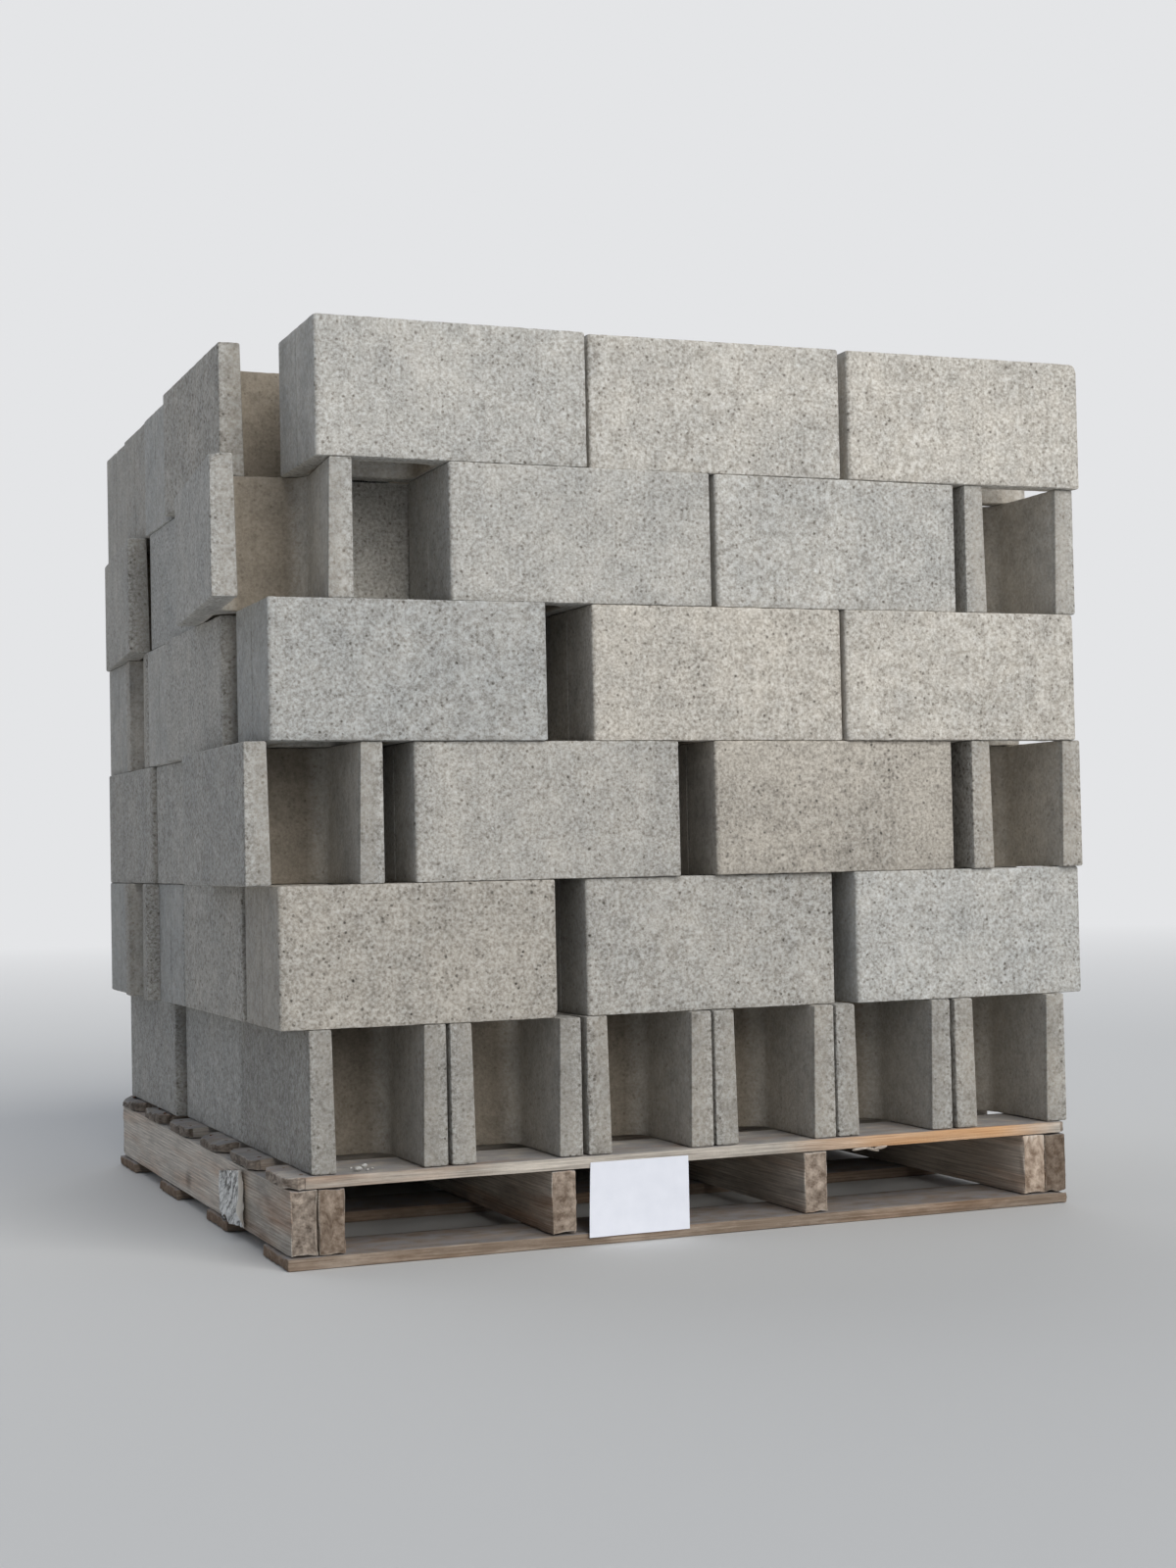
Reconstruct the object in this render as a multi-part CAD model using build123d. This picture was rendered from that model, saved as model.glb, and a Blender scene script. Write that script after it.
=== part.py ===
from build123d import *

import os
from math import atan, cos, degrees, radians, sin

# A pallet loaded with six bonded courses of open-ended hollow concrete blocks.
# Millimetres, +Z up. The front faces -Y, and X runs along it to the right.
# The origin is on the floor, under the middle of the box round the whole load.

# Concrete block: an 8 x 8 x 16 inch unit, less a 3/8 inch mortar joint. Two widths and a
# joint make one length, so that headers and stretchers bond.
mortar_joint = 9.5
block_width = 193.7
block_length = 2 * block_width + mortar_joint
block_height = 193.7
shell_top = 32.0          # face shells and closed end, at the top of the block
shell_bottom = 36.0       # the same walls at the bottom, thicker because the cores taper
web_top = 27.0            # middle web at the top
core_corner = 24.0        # slant across each inner corner of a core
score_width = 4.0         # groove down the middle of the closed end, where a mason splits the block
score_depth = 2.5

# Pallet: sawn softwood, 48 x 48 inches
pallet_width = 1219.2
pallet_depth = 1219.2
stringer_width = 38.1
stringer_height = 88.9
board_thickness = 17.5
board_width = 139.7
deck_board_count = 6
bottom_board_count = 4
left_stringer_inset = 6.0       # from the left ends of the boards
inner_stringer_shift = -16.0    # both inner stringers stand this far left of the thirds

# How pieces rest on one another
seat_gap = 0.3            # between two flat faces at rest
row_gap = 3.0             # between a row of blocks and the next
front_inset = 4.0         # from the front of the pallet to the front of the blocks

# Card on the front of the pallet, and a torn label on the side of its left stringer
card_width = 150.0
card_height = 104.0
card_from_left = 436.0    # from the left end of the deck boards
card_drop = 9.0           # from the top of the deck
label_length = 185.0
label_height = 78.0
label_from_front = 238.0
sheet_thickness = 0.6
sheet_gap = 0.3           # between a sheet and the wood behind it

# Which way the open end of a block looks, as a turn about Z
OPEN_RIGHT, OPEN_BACK, OPEN_LEFT, OPEN_FRONT = 0, 90, 180, 270

core_draft = degrees(atan((shell_bottom - shell_top) / block_height))

stringer_base = board_thickness + seat_gap
deck_base = stringer_base + stringer_height + seat_gap
load_base = deck_base + board_thickness + seat_gap


def tapered_void(left, right, cut_corners):
    """A core through the block, wide at the top and narrowed on its way down by the draft."""
    outline = Pos((left + right) / 2, 0) * Rectangle(right - left, block_width - 2 * shell_top)
    corners = outline.vertices().sort_by(Axis.X)[:cut_corners]
    void = extrude(chamfer(corners, core_corner), amount=block_height)
    walls = void.faces() - void.faces().filter_by(Axis.Z)
    return draft(walls, Plane.XY.offset(block_height), -core_draft)


def make_block():
    """One unit as it stands, with its closed end at -X and its open end at +X."""
    end = block_length / 2
    body = Pos(0, 0, block_height / 2) * Box(block_length, block_width, block_height)
    core = tapered_void(-end + shell_top, -web_top / 2, cut_corners=4)
    pocket = tapered_void(web_top / 2, end + shell_top, cut_corners=2)
    score = Pos(-end, 0, block_height / 2) * Box(2 * score_depth, score_width, block_height)
    return (body - core - pocket - score).solid()


def footprint(facing, turn):
    """Size along X and Y of the upright box round a block turned a little off square."""
    along, across = block_length, block_width
    if facing in (OPEN_BACK, OPEN_FRONT):
        along, across = across, along
    angle = radians(abs(turn))
    return along * cos(angle) + across * sin(angle), along * sin(angle) + across * cos(angle)


class Course:
    """One layer of blocks, laid in rows from the front of the pallet to the back."""

    def __init__(self, number):
        self.name = f"course_{number}_blocks"
        self.base = load_base + (number - 1) * (block_height + seat_gap)
        self.blocks = []
        self.back = front_inset

    def row(self, facing, left, gaps, turns=None, set_backs=None, front=None, ahead=row_gap):
        """Lay one more block than there are gaps, side by side, and return the right limit."""
        if front is None:
            front = self.back + ahead
        count = len(gaps) + 1
        turns = turns or [0.0] * count
        set_backs = set_backs or [0.0] * count
        reach = self.back
        for turn, set_back, gap in zip(turns, set_backs, [*gaps, 0.0]):
            size_x, size_y = footprint(facing, turn)
            near = front + set_back
            centre = (left + size_x / 2, near + size_y / 2, self.base)
            self.blocks.append(block.moved(Location(centre, (0, 0, facing + turn))))
            reach = max(reach, near + size_y)
            right = left + size_x
            left = right + gap
        self.back = reach
        return right

    def header_pair_band(self, left, gap_left, gap_between, gap_right, turns=None,
                         header_turn=0.0, back_shift=0.0):
        """A header at each end of the front, with two rows of two stretchers between."""
        first = left + footprint(OPEN_FRONT, header_turn)[0] + gap_left
        right = self.row(OPEN_RIGHT, first, [gap_between], turns, front=front_inset)
        self.row(OPEN_RIGHT, first + back_shift, [gap_between])
        self.row(OPEN_FRONT, left, [], [header_turn], front=front_inset)
        self.row(OPEN_FRONT, right + gap_right, [], front=front_inset)


block = make_block()

# Courses 1 to 6, from the bottom. Each row gives its distance from the left end of the
# pallet's boards and the gaps between its blocks, as a clamp truck leaves them.
first = Course(1)
first.row(OPEN_FRONT, 36.0, [5.0, 8.0, 3.5, 3.0, 7.0], front=front_inset)
first.row(OPEN_FRONT, 37.0, [6.0, 4.0, 7.5, 5.0, 6.0])
first.row(OPEN_FRONT, 22.0, [12.0, 6.0, 9.0, 5.0, 7.0], ahead=14.0)

second = Course(2)
second.row(OPEN_RIGHT, -3.0, [43.0, 24.0], [0.0, 1.4, 1.8], [0.0, 6.0, 0.0], front=front_inset)
second.row(OPEN_FRONT, -3.0, [16.0, 9.0, 21.0, 12.0, 18.0])
second.row(OPEN_RIGHT, -3.0, [30.0, 22.0])
second.row(OPEN_LEFT, -23.0, [38.0, 27.0])
second.row(OPEN_RIGHT, -13.0, [24.0, 31.0])

third = Course(3)
third.header_pair_band(-47.0, 44.0, 54.0, 31.0, [0.0, 0.9])
third.row(OPEN_FRONT, -6.0, [14.0, 9.0, 8.0, 11.0, 16.0])
third.row(OPEN_FRONT, -13.0, [12.0, 20.0, 18.0, 17.0, 10.0])

fourth = Course(4)
fourth.row(OPEN_RIGHT, -12.0, [70.0, 5.0], [-0.5, 0.3, 0.0], [-8.0, 0.0, -4.0], front=front_inset)
fourth.row(OPEN_FRONT, -21.0, [18.0, 12.0, 8.0, 21.0, 10.0], ahead=42.0)
fourth.row(OPEN_RIGHT, -11.0, [34.0, 26.0])
fourth.row(OPEN_LEFT, -11.0, [28.0, 33.0])
fourth.row(OPEN_RIGHT, -5.0, [22.0, 29.0])

fifth = Course(5)
fifth.header_pair_band(-83.0, 104.0, 10.0, 17.0, [0.0, -0.5],
                       header_turn=-5.0, back_shift=-98.0)
fifth.row(OPEN_FRONT, -8.0, [10.0, 16.0, 7.0, 12.0, 15.0])
fifth.row(OPEN_FRONT, -38.0, [9.0, 14.0, 11.0, 8.0, 13.0], [-4.5, 0.0, 0.0, 0.0, 0.0, 0.0], ahead=21.0)

sixth = Course(6)
sixth.row(OPEN_RIGHT, 59.0, [7.0, 9.0], [0.2, -1.5, -1.5], [1.0, 0.0, -10.0], front=front_inset)
sixth.row(OPEN_FRONT, -25.0, [22.0, 9.0, 14.0, 11.0, 17.0])
sixth.row(OPEN_RIGHT, -11.0, [30.0, 24.0], ahead=34.0)
sixth.row(OPEN_RIGHT, -8.0, [26.0, 28.0])
sixth.row(OPEN_RIGHT, -4.0, [31.0, 20.0])

pieces = {course.name: course.blocks for course in (first, second, third, fourth, fifth, sixth)}


def lumber(width, depth, height, left, front, base):
    """A sawn piece with its lowest corner at (left, front, base)."""
    return Box(width, depth, height, align=(Align.MIN, Align.MIN, Align.MIN)).moved(
        Location((left, front, base)))


# Stringers run from front to back. Each outer one has a second piece nailed to its inner side.
third_of_width = (pallet_width - stringer_width) / 3
right_stringer = pallet_width - stringer_width
left_companion = left_stringer_inset + stringer_width + seat_gap
stringers = {
    "stringer_left": left_stringer_inset,
    "stringer_left_companion": left_companion,
    "stringer_inner_left": third_of_width + inner_stringer_shift,
    "stringer_inner_right": 2 * third_of_width + inner_stringer_shift,
    "stringer_companion": right_stringer - stringer_width - seat_gap,
    "stringer_right": right_stringer,
}
for name, left in stringers.items():
    pieces[name] = [lumber(stringer_width, pallet_depth, stringer_height, left, 0, stringer_base)]

# Deck boards above the stringers and bottom boards below, spaced evenly
for kind, count, base in (("deck", deck_board_count, deck_base), ("bottom", bottom_board_count, 0)):
    pitch = (pallet_depth - board_width) / (count - 1)
    for i in range(count):
        board = lumber(pallet_width, board_width, board_thickness, 0, i * pitch, base)
        pieces[f"{kind}_board_{i + 1}"] = [board]

# The card hangs on the front, and the label is stapled to the left stringer
deck_top = deck_base + board_thickness
card_base = deck_top - card_drop - card_height
pieces["card"] = [lumber(card_width, sheet_thickness, card_height,
                         card_from_left, -sheet_gap - sheet_thickness, card_base)]
label_base = stringer_base + (stringer_height - label_height) / 2
pieces["torn_label"] = [lumber(sheet_thickness, label_length, label_height,
                               left_stringer_inset - sheet_gap - sheet_thickness,
                               label_from_front, label_base)]

outline = Compound([solid for solids in pieces.values() for solid in solids]).bounding_box()
to_origin = Location((-outline.center().X, -outline.center().Y, 0))

os.makedirs("parts", exist_ok=True)
for name, solids in pieces.items():
    export_step(Compound([solid.moved(to_origin) for solid in solids]), f"parts/{name}.step")
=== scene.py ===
from math import atan2, cos, radians, sin

import bpy
import numpy as np
from mathutils import Matrix, Vector


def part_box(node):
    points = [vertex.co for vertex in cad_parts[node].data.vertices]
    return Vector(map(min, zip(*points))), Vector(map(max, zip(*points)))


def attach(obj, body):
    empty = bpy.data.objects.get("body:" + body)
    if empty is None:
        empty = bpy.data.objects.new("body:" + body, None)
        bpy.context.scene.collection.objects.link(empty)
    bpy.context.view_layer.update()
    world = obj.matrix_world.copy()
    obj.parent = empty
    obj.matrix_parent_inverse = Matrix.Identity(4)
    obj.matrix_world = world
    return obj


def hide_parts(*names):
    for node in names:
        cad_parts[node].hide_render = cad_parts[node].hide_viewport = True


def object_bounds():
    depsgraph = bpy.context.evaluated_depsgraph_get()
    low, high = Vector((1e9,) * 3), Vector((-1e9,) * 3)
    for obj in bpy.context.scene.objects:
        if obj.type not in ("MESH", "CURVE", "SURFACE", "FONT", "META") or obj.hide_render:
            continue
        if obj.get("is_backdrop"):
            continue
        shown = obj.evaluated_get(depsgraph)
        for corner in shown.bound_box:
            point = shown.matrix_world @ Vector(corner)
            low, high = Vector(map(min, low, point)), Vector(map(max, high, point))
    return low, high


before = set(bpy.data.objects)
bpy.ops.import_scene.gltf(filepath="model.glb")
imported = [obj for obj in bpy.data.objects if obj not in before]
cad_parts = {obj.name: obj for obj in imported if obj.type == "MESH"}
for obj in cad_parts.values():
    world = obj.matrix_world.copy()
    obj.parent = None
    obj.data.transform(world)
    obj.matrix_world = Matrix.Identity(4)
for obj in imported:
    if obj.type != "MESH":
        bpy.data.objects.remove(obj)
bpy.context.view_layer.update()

# Stringers: six 38 x 89 mm lengths of softwood on edge, rough sawn, that carry the deck. They
# are nailed through the boards, and years outdoors have turned them grey and split their ends.
MM = 0.001                  # metres
ARRIS = 2.0                 # rounding of a sawn edge
TIMBER_STEP = 13.0          # spacing of the points along a piece
TIMBER_LEAD = np.array([0, 0, 0.3 * ARRIS, ARRIS, 5, 9, 14, 20])     # closer points at its ends
WAVE, WAVE_CELL = 0.45, 24.0         # mean depth and size of the hollows in a sawn face
TORN_CELL = 7.0             # width of a bundle of torn fibres at an end
FRAY, FRAY_CELL = 3.5, 14.0          # how deep and how wide the edges are worn near an end
FRAY_LENGTH = 32.0
LUMP, LUMP_CELL = 0.5, 13.0          # share of the height, and size, of what a broken end loses
CHECK_HALF_WIDTH = 1.4      # half the width of a drying split at the surface
CHECK_REACH = 60, 170       # the shortest and the longest split
CHECK_DEPTH = 0.6           # share of the way to the middle that it opens at the end
NOISE_VALUES = 4096
NOISE_PRIMES = 73856093, 19349663, 83492791     # they scatter the cells over the random values
GRAIN_SHIFT = 400           # sets the grain of two pieces apart
WELD = 0.01                 # the grid on which points that coincide are found
WELD_SHIFT = 0.00314        # keeps round numbers off the borders of that grid


def soft_noise(points, cell, seed):
    """Smooth noise from -1 to 1. Random values stand on a lattice of cells, and between them
    each axis blends by 3t^2 - 2t^3."""
    table = np.random.default_rng(seed).uniform(-1, 1, NOISE_VALUES)
    place = np.asarray(points) / cell
    base = np.floor(place).astype(np.int64)
    share = place - base
    share = share * share * (3 - 2 * share)
    total = np.zeros(place.shape[:-1])
    for corner in np.ndindex(2, 2, 2):
        x, y, z = np.moveaxis((base + corner) * NOISE_PRIMES, -1, 0)
        weight = np.prod(np.where(corner, share, 1 - share), axis=-1)
        total += weight * table[(x ^ y ^ z) & (NOISE_VALUES - 1)]
    return total


def arc(x, y, side_x, side_y, radius, steps):
    """Points and outward normals round one corner of an outline that runs anticlockwise: a
    quarter circle that touches both sides, from the normal of one side to that of the next."""
    first = {(-1, -1): 180, (1, -1): 270, (1, 1): 0, (-1, 1): 90}[side_x, side_y]
    angle = np.radians(first + np.linspace(0, 90, steps + 1))[:, None]
    x, y = np.atleast_1d(x), np.atleast_1d(y)
    normal = np.stack([np.cos(angle) + 0 * x, np.sin(angle) + 0 * x], axis=-1)
    centre = np.stack([x - side_x * radius, y - side_y * radius], axis=-1)
    return centre + radius * normal, normal


def side(start, stop, shares, normal):
    """Points at the given shares of the way from start to stop, all with one normal."""
    points = start + (stop - start) * np.asarray(shares)[:, None, None]
    return points, np.broadcast_to(np.array(normal, float), points.shape)


def outline(corners, sides, closed, steps, levels=0.0):
    """Arcs and the sides between them, as points and outward normals. Each corner has its place,
    the sides that it joins and its radius, and levels repeats the outline for each height."""
    arcs = [arc(x + levels, y + levels, side_x, side_y, radius, steps)
            for x, y, side_x, side_y, radius in corners]
    points, normals = [], []
    for i, (shape, out) in enumerate(arcs):
        points.append(shape)
        normals.append(out)
        if closed or i < len(arcs) - 1:
            following = arcs[(i + 1) % len(arcs)][0][0]
            line = side(shape[-1], following, sides[i], out[-1, 0])
            points.append(line[0])
            normals.append(line[1])
    return np.concatenate(points), np.concatenate(normals)


def grid_faces(rows, columns, close_rows=False, close_columns=False):
    """Four point numbers for each face of a grid of points: rows follow the path, columns go
    round the section."""
    row = np.arange(rows if close_rows else rows - 1)[:, None]
    column = np.arange(columns if close_columns else columns - 1)[None, :]
    next_row, next_column = (row + 1) % rows, (column + 1) % columns
    corners = [row * columns + column, row * columns + next_column,
               next_row * columns + next_column, next_row * columns + column]
    return np.stack(np.broadcast_arrays(*corners), axis=-1).reshape(-1, 4)


def weld(points, faces):
    """Makes points that coincide one point, and cuts each face into two triangles. It returns
    the kept points' numbers and the triangles that still have three corners."""
    keys = np.floor((points + WELD_SHIFT) / WELD).astype(np.int64)
    kept, number = np.unique(keys, axis=0, return_index=True, return_inverse=True)[1:]
    corners = number.reshape(-1)[faces]
    triangles = np.concatenate([corners[:, [0, 1, 2]], corners[:, [0, 2, 3]]])
    a, b, c = triangles.T
    return kept, triangles[(a != b) & (b != c) & (c != a)]


def put_in_scene(name, data):
    """A mesh, lamp or camera as an object of the scene, at the origin."""
    thing = bpy.data.objects.new(name, data)
    bpy.context.scene.collection.objects.link(thing)
    return thing


def make_piece(name, points, triangles, material, values=None, sharp=38):
    """A mesh in its place in the frame. Points are in millimetres, and values are what the
    material reads at each of them. Edges that bend more than sharp degrees are kept crisp."""
    mesh = bpy.data.meshes.new(name)
    mesh.vertices.add(len(points))
    mesh.vertices.foreach_set("co", (points * MM).astype(np.float32).ravel())
    mesh.loops.add(triangles.size)
    mesh.loops.foreach_set("vertex_index", triangles.astype(np.int32).ravel())
    mesh.polygons.add(len(triangles))
    mesh.polygons.foreach_set("loop_start", np.arange(0, triangles.size, 3, dtype=np.int32))
    mesh.update(calc_edges=True)
    for key, value in (values or {}).items():
        kind, field = ("FLOAT_VECTOR", "vector") if value.ndim == 2 else ("FLOAT", "value")
        store = mesh.attributes.new(key, kind, "POINT")
        store.data.foreach_set(field, value.astype(np.float32).ravel())
    mesh.set_sharp_from_angle(angle=radians(sharp))
    mesh.materials.append(material)
    piece = put_in_scene(name, mesh)
    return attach(piece, "root")


def box_mm(node):
    """Lowest and highest corner of a CAD node, in millimetres."""
    low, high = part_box(node)
    return np.array(low) / MM, np.array(high) / MM


def linear(colour):
    """An sRGB hex colour as linear red, green, blue and alpha."""
    values = [int(colour[i:i + 2], 16) / 255 for i in (1, 3, 5)]
    return [v / 12.92 if v <= 0.04045 else ((v + 0.055) / 1.055) ** 2.4 for v in values] + [1]


def feed(node, inputs):
    """Sets each input of a node to a constant, or links it to another node's output."""
    for key, value in inputs.items():
        if isinstance(value, bpy.types.NodeSocket):
            node.id_data.links.new(value, node.inputs[key])
        else:
            node.inputs[key].default_value = value


def add(tree, kind, inputs, output=0, **settings):
    """One node of a material, its kind named as Blender does but for the word ShaderNode: what
    feeds its inputs, the output that is handed on, and its settings."""
    made = tree.nodes.new("ShaderNode" + kind)
    for name, value in settings.items():
        setattr(made, name, value)
    feed(made, inputs)
    return made.outputs[output]


def new_material(name):
    """An empty material, with its tree and its surface shader."""
    material = bpy.data.materials.new(name)
    material.use_nodes = True
    return material, material.node_tree, material.node_tree.nodes["Principled BSDF"]


# Pine, band sawn and left outdoors: grey fibres over brown wood, rings where the saw cut them,
# dark knots and damp stains, a browner end grain, and on upward faces a bluish film of cement
# dust. Each piece is darker with grime or lighter where the sun has bleached it, and along the
# left stringer's side that lightness is also painted sunlight. Fresh breaks are orange. Loose
# fibres leave the surface rough, with little shine.
FIBRE = 1.8                 # width of a weathered fibre, across the grain
FIBRE_LENGTH = 110.0
FIBRE_RELIEF = 1.1
RING = 5.0                  # from one growth ring to the next
WAVE_LENGTH = 0.314         # of a wave texture at a scale of 1
SAW_MARK = 3.2              # from one tooth mark to the next, drawn a little coarse to show
KNOT_CELL = 260.0, 110.0, 200.0      # about one knot in each such length, width and height
STAIN = 26.0                # height of a damp stain, which is four times as long
CLOUD = 38.0                # width of a browner patch, which is eight times as long
END_BLOTCH = 12.0
DUST_PATCH = 30.0

weathered_pine, tree, shader = new_material("weathered_pine")
grain = add(tree, "Attribute", {}, "Vector", attribute_name="grain")
fresh, on_end, grime_and_painted_light = (add(tree, "Attribute", {}, "Fac", attribute_name=name)
                        for name in ("fresh", "end_grain", "grime_and_painted_light"))
along, slow, damp_place, across_saw, knot_place = (
    add(tree, "VectorMath", {0: grain, 1: stretch}, operation="MULTIPLY")
    for stretch in ((FIBRE / FIBRE_LENGTH, 1, 1), (0.12, 1, 1), (0.25, 1, 1), (1, 0.08, 0.08),
                    [1 / side for side in KNOT_CELL]))
fibre, cloud, blotch, damp, dust_patch, saw = (
    add(tree, "TexNoise", {"Vector": where, "Scale": 1 / cell, "Detail": detail, "Roughness": rough})
    for where, cell, detail, rough in (
        (along, FIBRE, 4.0, 0.65), (slow, CLOUD, 3.0, 0.5), (grain, END_BLOTCH, 3.0, 0.65),
        (damp_place, STAIN, 5.0, 0.72), (grain, DUST_PATCH, 5.0, 0.5), (across_saw, SAW_MARK, 1.0, 0.5)))
rings = add(tree, "TexWave", {"Vector": slow, "Scale": WAVE_LENGTH / RING, "Distortion": 3.5,
                              "Detail": 2.0, "Detail Scale": 0.6}, "Fac", wave_type="RINGS",
            rings_direction="X")
knot = add(tree, "TexVoronoi", {"Vector": knot_place, "Scale": 1.0}, "Distance")
fibre_shade = add(tree, "MapRange", {"Value": fibre, "From Min": 0.3, "From Max": 0.72})
weather, brown, split_wood = (
    add(tree, "Mix", {0: fibre_shade, 6: linear(dark), 7: linear(pale)}, 2, data_type="RGBA")
    for dark, pale in (("#7D766E", "#B5AEA4"), ("#6E5B4D", "#A48C79"), ("#B3845A", "#E0B589")))
brown_part = add(tree, "MapRange", {"Value": cloud, "From Min": 0.48, "From Max": 0.72})
wood = add(tree, "Mix", {0: brown_part, 6: weather, 7: brown}, 2, data_type="RGBA")
ring_shade = add(tree, "MapRange", {"Value": rings, "To Min": 0.88, "To Max": 1.05})
wood = add(tree, "VectorMath", {0: wood, "Scale": ring_shade}, operation="SCALE")
blotch = add(tree, "Math", {0: rings, 1: 0.03, 2: blotch}, operation="MULTIPLY_ADD")
blotch = add(tree, "MapRange", {"Value": blotch, "From Min": 0.34, "From Max": 0.7})
end_wood = add(tree, "Mix", {0: blotch, 6: linear("#4E443C"), 7: linear("#8E8378")}, 2,
               data_type="RGBA")
wood = add(tree, "Mix", {0: on_end, 6: wood, 7: end_wood}, 2, data_type="RGBA")
# grime and bleaching shift the shade of the damp stains, and on the left stringer's side they also paint
# sunlight
damp = add(tree, "Math", {0: grime_and_painted_light, 1: 0.22, 2: damp}, operation="MULTIPLY_ADD")
grime_light_shade = add(tree, "MapRange", {"Value": damp, "From Min": -0.05, "From Max": 0.72, "To Min": 2.0,
                                    "To Max": 0.42})
knot_shade = add(tree, "MapRange", {"Value": knot, "From Min": 0.05, "From Max": 0.12, "To Min": 0.45,
                                    "To Max": 1.0})
for shade in (grime_light_shade, knot_shade):
    wood = add(tree, "VectorMath", {0: wood, "Scale": shade}, operation="SCALE")
wood = add(tree, "Mix", {0: fresh, 6: wood, 7: split_wood}, 2, data_type="RGBA")
normal = add(tree, "NewGeometry", {}, "Normal")
up = add(tree, "SeparateXYZ", {0: normal}, "Z")
dust_share = add(tree, "Math", {0: up, 1: dust_patch}, operation="MULTIPLY")
dust_share = add(tree, "MapRange", {"Value": dust_share, "From Min": 0.25, "From Max": 0.62,
                                    "To Max": 0.8})
wood = add(tree, "Mix", {0: dust_share, 6: wood, 7: linear("#8F8E90")}, 2, data_type="RGBA")
relief = add(tree, "Math", {0: saw, 1: 0.35, 2: fibre}, operation="MULTIPLY_ADD")
rough = add(tree, "MapRange", {"Value": on_end, "To Min": 0.8, "To Max": 0.15})
bump = add(tree, "Bump", {"Strength": rough, "Distance": FIBRE_RELIEF * MM, "Height": relief})
feed(shader, {"Base Color": wood, "Roughness": 0.88, "Specular IOR Level": 0.25, "Normal": bump})


def timber(length, width, thickness, seed, round_start=0.0, round_stop=0.0, ragged=2.0,
           broken=1.0):
    """A sawn piece, x along it, y across it and z up. A rounded rectangle is carried along the
    length and closes on its middle at both ends. Each line of points has its own start and
    stop, so an end can be rounded in plan or ragged. Noise pulls the faces in by up to a
    millimetre, and a split runs in from each end, deepest at the end itself. Over the broken
    length the top falls away towards the start, in proportion to height and in lumps. It
    returns points, triangles, the place in the grain, and how much each point is end grain."""
    rng = np.random.default_rng(seed)
    crack = rng.uniform(0.25, 0.75)
    broad = np.linspace(0, 1, round(width / TIMBER_STEP) + 2)[1:-1]
    broad = np.sort(np.append(broad, crack + np.array([-1, 0, 1]) * CHECK_HALF_WIDTH / width))
    edge = np.linspace(0, 1, round(thickness / TIMBER_STEP) + 2)[1:-1]
    corners = [(0, 0, -1, -1, ARRIS), (width, 0, 1, -1, ARRIS),
               (width, thickness, 1, 1, ARRIS), (0, thickness, -1, 1, ARRIS)]
    section, out = outline(corners, [broad, edge, 1 - broad[::-1], edge], True, 2)
    section, out = section[:, 0], out[:, 0]
    y, z = section.T

    lead = TIMBER_LEAD
    count = round((length - 2 * lead[-1]) / TIMBER_STEP)
    x = np.concatenate([lead, np.linspace(lead[-1], length - lead[-1], count)[1:-1],
                        length - lead[::-1]])
    shrink = np.zeros(len(x))
    shrink[[0, 1, 2]] = shrink[[-1, -2, -3]] = ARRIS, ARRIS, 0.3 * ARRIS
    on_end = np.zeros((len(x), len(y)))
    on_end[[0, 1, -2, -1]] = 1.0
    from_edge = np.minimum(y, width - y)

    def end_line(rounding, offset, level):
        """How far an end stands back at each point of the section: a quarter circle in plan,
        and broken fibres, for which the offset picks other noise at each end."""
        inside = np.clip(rounding - from_edge, 0, rounding)
        curve = rounding - np.sqrt(np.maximum(rounding**2 - inside**2, 0))
        fibres = soft_noise(np.stack([y, level, 0 * y + offset], -1), TORN_CELL, seed + 5)
        return curve + ragged * (0.5 + 0.5 * fibres)

    middle = thickness / 2
    start, stop = end_line(round_start, 10, z), end_line(round_stop, 90, z)
    share = (x / length)[:, None]
    x = start + share * (length - stop - start)
    x[0] = end_line(round_start, 10, 0 * z + middle)
    x[-1] = length - end_line(round_stop, 90, 0 * z + middle)
    grain_at = np.stack(np.broadcast_arrays(x, y, z), -1)
    grain_at[[0, -1], :, 2] = middle
    pull = WAVE * (1 + soft_noise(grain_at * (0.2, 1, 1), WAVE_CELL, seed + 1)) + shrink[:, None]
    near_end = np.clip(1 - np.minimum(x, length - x) / FRAY_LENGTH, 0, 1)
    pull += FRAY * near_end * np.clip(0.2 + soft_noise(grain_at, FRAY_CELL, seed + 9), 0, 1)
    y = y - out[:, 0] * pull
    z = z - out[:, 1] * pull
    on_crack = np.abs(section[:, 0] - crack * width) < 0.01
    reach = rng.uniform(*CHECK_REACH, 2)
    ends = np.maximum(1 - x / reach[0], 1 - (length - x) / reach[1])
    depth = np.clip(ends, 0, 1) ** 0.6 * on_crack
    z = z + (middle - z) * CHECK_DEPTH * depth
    z[[0, -1]] = middle
    lumps = np.clip(0.4 + soft_noise(grain_at, LUMP_CELL, seed + 7), 0, 1)
    z = z * (1 - LUMP * lumps * np.clip(1 - x / broken, 0, 1) ** 0.6)
    points = np.stack([x, y, z], -1)
    faces = grid_faces(len(points), len(section), close_columns=True)
    kept, triangles = weld(points.reshape(-1, 3), faces)
    offset = rng.uniform(-GRAIN_SHIFT, GRAIN_SHIFT, 3) * (1, 0.2, 0.2)
    return (points.reshape(-1, 3)[kept], triangles, grain_at.reshape(-1, 3)[kept] + offset,
            on_end.ravel()[kept])


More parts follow.
